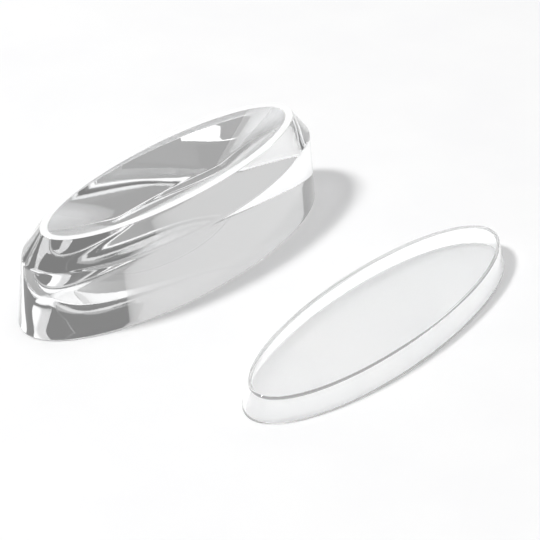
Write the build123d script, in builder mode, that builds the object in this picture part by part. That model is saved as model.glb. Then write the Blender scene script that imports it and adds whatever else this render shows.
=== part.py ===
"""Elliptical lens block with a recessed top, and the thin clear cover that lifts off it.

Millimetres, +Z up. The origin is the centre of the block's flat base, with +X along the block's
long axis. The block and its cover both stand on the plane z = 0, with the cover set down beside
the block.
"""
import os
from math import cos, radians, sin, tan

from build123d import *

# Lens block: an elliptical prism that narrows slightly upwards, with a bevelled shoulder.
BLOCK_LENGTH = 72.3
BLOCK_WIDTH = 28.0
BLOCK_HEIGHT = 16.6
WALL_DRAFT = 5.6  # degrees from the vertical
SHOULDER_HEIGHT = 12.2  # where the wall ends and the bevel begins
RIM_LENGTH = 62.3  # over the outer edge of the rim
RIM_SPAN = 19.3
BASE_EDGE_RADIUS = 0.3
SHOULDER_EDGE_RADIUS = 1.5
RIM_EDGE_RADIUS = 0.2

# Recess in the top of the block: straight sloping sides that meet in a narrow, hollowed floor.
RIM_WIDTH = 1.4
RECESS_DEPTH = 6.6
FLOOR_LENGTH = 22.5  # where the slopes would meet the floor if nothing were rounded
FLOOR_WIDTH = 3.4
SLOPE_BLEND = 0.2  # share of each slope that curves into the floor
FLOOR_BLEND = 0.9  # share of the floor that curves up into the slopes
BLEND_SECTIONS = 8

# Cover: a thin shell, closed on top, whose skirt flares towards its open underside.
COVER_LENGTH = 69.4
COVER_WIDTH = 23.2
COVER_HEIGHT = 4.4
COVER_FLARE = 1.25  # how much further out the skirt is at the bottom than at the top
COVER_WALL = 0.8
COVER_EDGE_RADIUS = 0.35
COVER_PLACE = (1.7, -43.2)  # centre of the cover, on the surface it lies on
COVER_TURN = 2.5  # degrees from the block's long axis


def between(start, end, share):
    """The outline that lies a share of the way from one outline to another."""
    return tuple(a + (b - a) * share for a, b in zip(start, end))


def blend(slope_end, corner, floor_edge):
    """Outlines along the curve that takes the recess's slope into its floor."""
    outlines = []
    for section in range(BLEND_SECTIONS + 1):
        share = section / BLEND_SECTIONS
        first = between(slope_end, corner, share)
        second = between(corner, floor_edge, share)
        outlines.append(between(first, second, share))
    return outlines


os.makedirs("parts", exist_ok=True)

# Lens block. Each outline is (height, half length, half width).
block_x, block_y = BLOCK_LENGTH / 2, BLOCK_WIDTH / 2
rim_x, rim_y = RIM_LENGTH / 2, RIM_SPAN / 2
wall_inset = SHOULDER_HEIGHT * tan(radians(WALL_DRAFT))
outside = [
    (0, block_x, block_y),
    (SHOULDER_HEIGHT, block_x - wall_inset, block_y - wall_inset),
    (BLOCK_HEIGHT, rim_x, rim_y),
]
floor_height = BLOCK_HEIGHT - RECESS_DEPTH
mouth = (BLOCK_HEIGHT, rim_x - RIM_WIDTH, rim_y - RIM_WIDTH)
floor_corner = (floor_height, FLOOR_LENGTH / 2, FLOOR_WIDTH / 2)
floor_centre = (floor_height, 0, 0)
slope_end = between(floor_corner, mouth, SLOPE_BLEND)
floor_edge = between(floor_corner, floor_centre, FLOOR_BLEND)

with BuildPart() as lens_block:
    for height, half_x, half_y in outside:
        with BuildSketch(Plane.XY.offset(height)):
            Ellipse(half_x, half_y)
    loft(ruled=True)
    for height, half_x, half_y in (mouth, slope_end):
        with BuildSketch(Plane.XY.offset(height)):
            Ellipse(half_x, half_y)
    loft(ruled=True, mode=Mode.SUBTRACT)
    for height, half_x, half_y in blend(slope_end, floor_corner, floor_edge):
        with BuildSketch(Plane.XY.offset(height)):
            Ellipse(half_x, half_y)
    loft(mode=Mode.SUBTRACT)
    base_edge = lens_block.edges().filter_by_position(Axis.Z, 0, 0)
    fillet(base_edge, BASE_EDGE_RADIUS)
    shoulder_edge = lens_block.edges().filter_by_position(Axis.Z, SHOULDER_HEIGHT, SHOULDER_HEIGHT)
    fillet(shoulder_edge, SHOULDER_EDGE_RADIUS)
    rim_edges = lens_block.edges().filter_by_position(Axis.Z, BLOCK_HEIGHT, BLOCK_HEIGHT)
    fillet(rim_edges, RIM_EDGE_RADIUS)

lens_block.part.label = "lens_block"
export_step(lens_block.part, "parts/lens_block.step")

# Cover, lying on its open underside beside the block.
cover_direction = (cos(radians(COVER_TURN)), sin(radians(COVER_TURN)), 0)
cover_floor = Plane(origin=(*COVER_PLACE, 0), x_dir=cover_direction, z_dir=(0, 0, 1))
cover_x, cover_y = COVER_LENGTH / 2, COVER_WIDTH / 2

with BuildPart() as cover:
    for height, inset in ((0, 0), (COVER_HEIGHT, COVER_FLARE)):
        with BuildSketch(cover_floor.offset(height)):
            Ellipse(cover_x - inset, cover_y - inset)
    loft(ruled=True)
    top_edge = cover.edges().group_by(Axis.Z)[-1]
    fillet(top_edge, COVER_EDGE_RADIUS)
    open_underside = cover.faces().sort_by(Axis.Z)[0]
    offset(amount=-COVER_WALL, openings=open_underside)

cover.part.label = "cover"
export_step(cover.part, "parts/cover.step")
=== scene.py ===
"""Looks for the clear lens block and its cover, on a pale floor in soft studio light.

Both pieces are rebuilt as fine, evenly spaced meshes, because clear material shows every facet of a
coarse one. The block's outer size and the cover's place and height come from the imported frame. The
sizes that its boxes don't give are named below.
"""

from math import cos, pi, radians, sin, tan

import bmesh
import bpy
from mathutils import Matrix, Vector


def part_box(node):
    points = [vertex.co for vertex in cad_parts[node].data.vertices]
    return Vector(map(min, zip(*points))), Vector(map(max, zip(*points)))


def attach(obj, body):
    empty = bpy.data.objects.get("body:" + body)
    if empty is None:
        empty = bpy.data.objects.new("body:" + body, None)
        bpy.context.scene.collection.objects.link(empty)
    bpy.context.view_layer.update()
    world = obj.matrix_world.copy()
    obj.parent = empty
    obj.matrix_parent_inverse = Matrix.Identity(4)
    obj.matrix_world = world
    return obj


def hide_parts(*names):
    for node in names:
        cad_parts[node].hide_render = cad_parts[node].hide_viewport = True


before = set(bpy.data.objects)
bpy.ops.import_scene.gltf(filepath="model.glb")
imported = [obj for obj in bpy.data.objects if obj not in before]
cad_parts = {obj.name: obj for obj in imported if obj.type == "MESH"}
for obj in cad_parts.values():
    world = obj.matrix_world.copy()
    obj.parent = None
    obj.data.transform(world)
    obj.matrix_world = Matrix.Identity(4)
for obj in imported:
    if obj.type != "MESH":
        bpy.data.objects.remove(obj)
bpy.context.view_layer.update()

MM = 0.001

# Meshes.
AROUND = 360  # columns of points round each piece
ROUND_STEPS = 12  # steps round each rounded edge
CENTRE_SHARE = 0.02  # size of the ellipse that closes the middle of a flat face

# Lens block, in millimetres. X and Y are half lengths and half widths. Its outer size is the packed
# node's box.
_, block_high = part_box("lens_block")
BLOCK_X = block_high.x / MM
BLOCK_Y = block_high.y / MM
BLOCK_HEIGHT = block_high.z / MM
WALL_DRAFT = 5.6  # degrees from the vertical
SHOULDER_HEIGHT = 12.2  # where the wall ends and the bevel begins
RIM_X, RIM_Y = 31.15, 9.65  # outer edge of the rim
RIM_WIDTH = 1.4
BASE_EDGE_RADIUS = 0.3
SHOULDER_EDGE_RADIUS = 1.5
RIM_EDGE_RADIUS = 0.2
RECESS_DEPTH = 6.6
RECESS_FLOOR_X, RECESS_FLOOR_Y = 11.25, 1.7  # where the slopes would meet the floor unrounded
SLOPE_BLEND = 0.2  # share of each recess slope that curves into the floor
FLOOR_BLEND = 0.9  # share of the recess floor that curves up into the slopes

# Cover, in millimetres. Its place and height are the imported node's.
cover_low, cover_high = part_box("cover")
COVER_X, COVER_Y = 34.7, 11.6  # at the open underside
COVER_HEIGHT = cover_high.z / MM
COVER_FLARE = 1.25  # how much further out the skirt is at the bottom than at the top
COVER_WALL = 0.8
COVER_EDGE_RADIUS = 0.35
COVER_INNER_RADIUS = 0.15
COVER_FOOT_RADIUS = 0.12
COVER_TURN = 2.5  # degrees from the block's long axis

# Materials. Noise scales are per metre.
NOISE_LOW, NOISE_HIGH = 0.35, 0.65  # the range that most noise values lie in
CLEAR_IOR = 1.49
BLOCK_PAINTED_GLOW = 0.03  # painted light: a faint glow over the whole block, standing in for the light that real clear material scatters, which lifts its dark inner zones
# painted light: a glow over the whole cover, standing in for the light that passes through it, so the
# floor seen through it looks lit
COVER_PAINTED_GLOW = 0.06
CLEAR_TINTS = (1.0, 1.0, 1.0), (0.985, 0.992, 0.994)
CLEAR_TINT_SCALE = 60
WEAR_SCALE = 900
WEAR_SQUEEZE = (1, 6, 6)  # draws the wear out into hairlines along X
WEAR_START, WEAR_END = 0.55, 0.8  # noise values between which the polish gives way to wear
WEAR_ROUGHNESS = 0.03
WEAR_DEPTH = 0.0000004  # metres
RIM_CLEARNESS = 0.2  # share of light that passes straight through the ground rim
RIM_FADE = 0.00006  # depth over which the rim turns clear, in metres

# Floor, in metres.
STAGE_REACH = 3.0  # from the origin to each side
STAGE_HEIGHT = -0.00003  # just under the pieces, so that no two faces coincide
STAGE_TINTS = (0.9, 0.9, 0.9), (0.88, 0.88, 0.885)
STAGE_TINT_SCALE = 40
STAGE_GRAIN_SCALE = 400
STAGE_ROUGHNESS = 0.7, 0.85
STAGE_SPECULAR = 0.1

# Camera. Places are in metres, the sensor and focal length in millimetres.
VIEW_TURN = radians(51.46)
VIEW_ELEVATION = radians(29.75)
VIEW_DISTANCE = 0.4462
VIEW_CENTRE = (0.00586, -0.01687, 0)  # the point on the floor that the camera looks at
SENSOR_WIDTH = 36
FOCAL_LENGTH = 173.3

SURROUND_GREY = 0.28  # radiance of the world


def rounded(corners, radii, counts):
    """A line through the corners, each rounded, as evenly counted points.

    A corner is rounded to a radius, or over a pair of shares of the straight lines on either side.
    Each straight line has its own count of steps.
    """
    points = [corners[0]]
    leave = corners[0]
    for before, corner, after, radius, count in zip(corners, corners[1:], corners[2:], radii, counts):
        if isinstance(radius, tuple):
            arrive = corner.lerp(before, radius[0])
            end = corner.lerp(after, radius[1])
            weight = 1.0  # a parabola
        else:
            to_before = (before - corner).normalized()
            to_after = (after - corner).normalized()
            half = to_before.angle(to_after) / 2
            arrive = corner + to_before * (radius / tan(half))
            end = corner + to_after * (radius / tan(half))
            weight = sin(half)  # a circular arc
        points += [leave.lerp(arrive, i / count) for i in range(1, count)]
        leave = end
        for i in range(ROUND_STEPS + 1):
            u = i / ROUND_STEPS
            w0, w1, w2 = (1 - u) ** 2, 2 * weight * u * (1 - u), u * u
            points.append((arrive * w0 + corner * w1 + leave * w2) / (w0 + w1 + w2))
    last = counts[-1]
    return points + [leave.lerp(corners[-1], i / last) for i in range(1, last + 1)]


def shell(name, outline, radii, counts, place=(0, 0), turn=0.0):
    """A closed, smooth mesh through ellipses (half length, half width, height) with rounded edges.

    The outline and radii are in millimetres, the place in metres and the turn in radians.
    """
    bm = bmesh.new()
    columns = []
    for i in range(AROUND):
        angle = 2 * pi * i / AROUND
        corners = [Vector((a * cos(angle), b * sin(angle), z)) for a, b, z in outline]
        columns.append([bm.verts.new(p * MM) for p in rounded(corners, radii, counts)])
    for column, neighbour in zip(columns, columns[1:] + columns[:1]):
        for i in range(len(column) - 1):
            bm.faces.new((column[i], neighbour[i], neighbour[i + 1], column[i + 1]))
    bm.faces.new([column[0] for column in columns])
    bm.faces.new([column[-1] for column in columns])
    bmesh.ops.recalc_face_normals(bm, faces=bm.faces[:])
    for face in bm.faces:
        face.smooth = True
    mesh = bpy.data.meshes.new(name)
    bm.to_mesh(mesh)
    bm.free()
    mesh.transform(Matrix.Translation((place[0], place[1], 0)) @ Matrix.Rotation(turn, 4, "Z"))
    piece = bpy.data.objects.new(name, mesh)
    bpy.context.scene.collection.objects.link(piece)
    return piece


def near_centre(a, b, z):
    """A small ellipse at the middle of a flat face."""
    return a * CENTRE_SHARE, b * CENTRE_SHARE, z


def new_material(name):
    """A new material, with its node tree and its shader."""
    material = bpy.data.materials.new(name)
    material.use_nodes = True
    tree = material.node_tree
    return material, tree, tree.nodes["Principled BSDF"]


def noise(tree, scale, detail, squeeze=(1, 1, 1)):
    """Noise in the piece's own coordinates, in metres."""
    coords = tree.nodes.new("ShaderNodeTexCoord")
    mapping = tree.nodes.new("ShaderNodeMapping")
    mapping.inputs["Scale"].default_value = squeeze
    texture = tree.nodes.new("ShaderNodeTexNoise")
    texture.inputs["Scale"].default_value = scale
    texture.inputs["Detail"].default_value = detail
    tree.links.new(coords.outputs["Object"], mapping.inputs["Vector"])
    tree.links.new(mapping.outputs["Vector"], texture.inputs["Vector"])
    return texture.outputs["Fac"]


def spread(tree, value, low, high, start=NOISE_LOW, end=NOISE_HIGH):
    """Maps a value from the range start to end to the range low to high."""
    node = tree.nodes.new("ShaderNodeMapRange")
    node.inputs["From Min"].default_value = start
    node.inputs["From Max"].default_value = end
    node.inputs["To Min"].default_value = low
    node.inputs["To Max"].default_value = high
    tree.links.new(value, node.inputs["Value"])
    return node.outputs["Result"]


def tint(tree, value, colours):
    """Maps a noise value to a colour between the two given."""
    ramp = tree.nodes.new("ShaderNodeValToRGB")
    for element, position, colour in zip(ramp.color_ramp.elements, (NOISE_LOW, NOISE_HIGH), colours):
        element.position = position
        element.color = (*colour, 1)
    tree.links.new(value, ramp.inputs["Fac"])
    return ramp.outputs["Color"]


def bump(tree, height, distance):
    """The surface's normal, as if it were raised by a height of up to a distance in metres."""
    node = tree.nodes.new("ShaderNodeBump")
    node.inputs["Strength"].default_value = 1.0
    node.inputs["Distance"].default_value = distance
    tree.links.new(height, node.inputs["Height"])
    return node.outputs["Normal"]


def clear(name, painted_glow):
    """Clear, polished material with a faint tint variation, hairline wear and a faint painted glow,
    which stands in for light.
    """
    material, tree, shader = new_material(name)
    shader.inputs["Transmission Weight"].default_value = 1.0
    shader.inputs["IOR"].default_value = CLEAR_IOR
    # Painted light: the piece glows white, though it is no lamp.
    shader.inputs["Emission Color"].default_value = (1, 1, 1, 1)
    shader.inputs["Emission Strength"].default_value = painted_glow
    colour = tint(tree, noise(tree, CLEAR_TINT_SCALE, detail=3), CLEAR_TINTS)
    tree.links.new(colour, shader.inputs["Base Color"])
    wear = noise(tree, WEAR_SCALE, detail=6, squeeze=WEAR_SQUEEZE)
    roughness = spread(tree, wear, 0.0, WEAR_ROUGHNESS, WEAR_START, WEAR_END)
    tree.links.new(roughness, shader.inputs["Roughness"])
    tree.links.new(bump(tree, wear, WEAR_DEPTH), shader.inputs["Normal"])
    return material


def grind_above(material, height):
    """Makes the face at a height in metres finely ground, so that it scatters light and looks white."""
    tree = material.node_tree
    shader = tree.nodes["Principled BSDF"]
    coords = tree.nodes.new("ShaderNodeTexCoord")
    parts = tree.nodes.new("ShaderNodeSeparateXYZ")
    tree.links.new(coords.outputs["Object"], parts.inputs["Vector"])
    passed = spread(tree, parts.outputs["Z"], 1.0, RIM_CLEARNESS, height - RIM_FADE, height)
    tree.links.new(passed, shader.inputs["Transmission Weight"])


# Lens block, from the middle of its base, up its wall and over the rim to the middle of the recess.
wall_inset = SHOULDER_HEIGHT * tan(radians(WALL_DRAFT))
recess_floor = BLOCK_HEIGHT - RECESS_DEPTH
block_outline = [
    near_centre(BLOCK_X, BLOCK_Y, 0),
    (BLOCK_X, BLOCK_Y, 0),
    (BLOCK_X - wall_inset, BLOCK_Y - wall_inset, SHOULDER_HEIGHT),
    (RIM_X, RIM_Y, BLOCK_HEIGHT),
    (RIM_X - RIM_WIDTH, RIM_Y - RIM_WIDTH, BLOCK_HEIGHT),
    (RECESS_FLOOR_X, RECESS_FLOOR_Y, recess_floor),
    near_centre(RECESS_FLOOR_X, RECESS_FLOOR_Y, recess_floor),
]
block_radii = [
    BASE_EDGE_RADIUS,
    SHOULDER_EDGE_RADIUS,
    RIM_EDGE_RADIUS,
    RIM_EDGE_RADIUS,
    (SLOPE_BLEND, FLOOR_BLEND),
]
block_counts = [8, 14, 10, 3, 20, 6]

lens_block = shell("lens_block_visual", block_outline, block_radii, block_counts)
lens_glass = clear("lens_glass", BLOCK_PAINTED_GLOW)
grind_above(lens_glass, BLOCK_HEIGHT * MM)
lens_block.data.materials.append(lens_glass)
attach(lens_block, "block")
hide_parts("lens_block")

# Cover, from the middle of its inside, down the skirt, round its foot and up to the middle of its top.
cover_slope = COVER_FLARE / COVER_HEIGHT
inner_top = COVER_HEIGHT - COVER_WALL
inner_inset = COVER_WALL + inner_top * cover_slope
cover_outline = [
    near_centre(COVER_X, COVER_Y, inner_top),
    (COVER_X - inner_inset, COVER_Y - inner_inset, inner_top),
    (COVER_X - COVER_WALL, COVER_Y - COVER_WALL, 0),
    (COVER_X, COVER_Y, 0),
    (COVER_X - COVER_FLARE, COVER_Y - COVER_FLARE, COVER_HEIGHT),
    near_centre(COVER_X, COVER_Y, COVER_HEIGHT),
]
cover_radii = [COVER_INNER_RADIUS, COVER_FOOT_RADIUS, COVER_FOOT_RADIUS, COVER_EDGE_RADIUS]
cover_counts = [10, 8, 2, 8, 10]

middle = (cover_low + cover_high) / 2
cover = shell(
    "cover_visual", cover_outline, cover_radii, cover_counts, (middle.x, middle.y), radians(COVER_TURN)
)
cover.data.materials.append(clear("cover_clear", COVER_PAINTED_GLOW))
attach(cover, "cover")
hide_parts("cover")

# Floor.
floor_material, tree, shader = new_material("pale_floor")
pale = tint(tree, noise(tree, STAGE_TINT_SCALE, detail=4), STAGE_TINTS)
tree.links.new(pale, shader.inputs["Base Color"])
grain = noise(tree, STAGE_GRAIN_SCALE, detail=5)
tree.links.new(spread(tree, grain, *STAGE_ROUGHNESS), shader.inputs["Roughness"])
shader.inputs["Specular IOR Level"].default_value = STAGE_SPECULAR
floor_mesh = bpy.data.meshes.new("floor")
sides = ((-1, -1), (1, -1), (1, 1), (-1, 1))
corners = [(x * STAGE_REACH, y * STAGE_REACH, STAGE_HEIGHT) for x, y in sides]
floor_mesh.from_pydata(corners, [], [(0, 1, 2, 3)])
floor_mesh.materials.append(floor_material)
floor = bpy.data.objects.new("floor", floor_mesh)
bpy.context.scene.collection.objects.link(floor)

# Camera.
right = Vector((cos(VIEW_TURN), -sin(VIEW_TURN), 0))
away = Vector((sin(VIEW_TURN), cos(VIEW_TURN), 0))
up = Vector((0, 0, 1))
aim = Vector(VIEW_CENTRE)
look = away * cos(VIEW_ELEVATION) - up * sin(VIEW_ELEVATION)
camera_data = bpy.data.cameras.new("camera")
camera_data.sensor_width = SENSOR_WIDTH
camera_data.lens = FOCAL_LENGTH
camera = bpy.data.objects.new("camera", camera_data)
camera.location = aim - look * VIEW_DISTANCE
camera.rotation_euler = look.to_track_quat("-Z", "Y").to_euler()
bpy.context.scene.collection.objects.link(camera)
bpy.context.scene.camera = camera

# Light: an even grey surround, a softbox high on the left, a wide panel behind and one overhead.
world = bpy.data.worlds.new("studio")
world.use_nodes = True
surround = (SURROUND_GREY, SURROUND_GREY, SURROUND_GREY, 1)
world.node_tree.nodes["Background"].inputs["Color"].default_value = surround
bpy.context.scene.world = world


def soft_light(name, to_right, beyond, above, width, height, radiance):
    """A rectangular light that faces the camera's aim, placed by its distances from it in metres."""
    place = aim + right * to_right + away * beyond + up * above
    data = bpy.data.lights.new(name, "AREA")
    data.shape = "RECTANGLE"
    data.size = width
    data.size_y = height
    data.energy = radiance * pi * width * height
    light = bpy.data.objects.new(name, data)
    light.location = place
    light.rotation_euler = (aim - place).to_track_quat("-Z", "Y").to_euler()
    bpy.context.scene.collection.objects.link(light)


soft_light("key", to_right=-1.08, beyond=-0.36, above=1.5, width=0.3, height=0.3, radiance=79.0)
soft_light("back", to_right=0, beyond=0.9, above=0.75, width=1.53, height=1.2, radiance=0.31)
soft_light("top", to_right=0, beyond=0, above=1.2, width=0.8, height=0.8, radiance=2.2)
bpy.context.scene.view_settings.view_transform = "Standard"
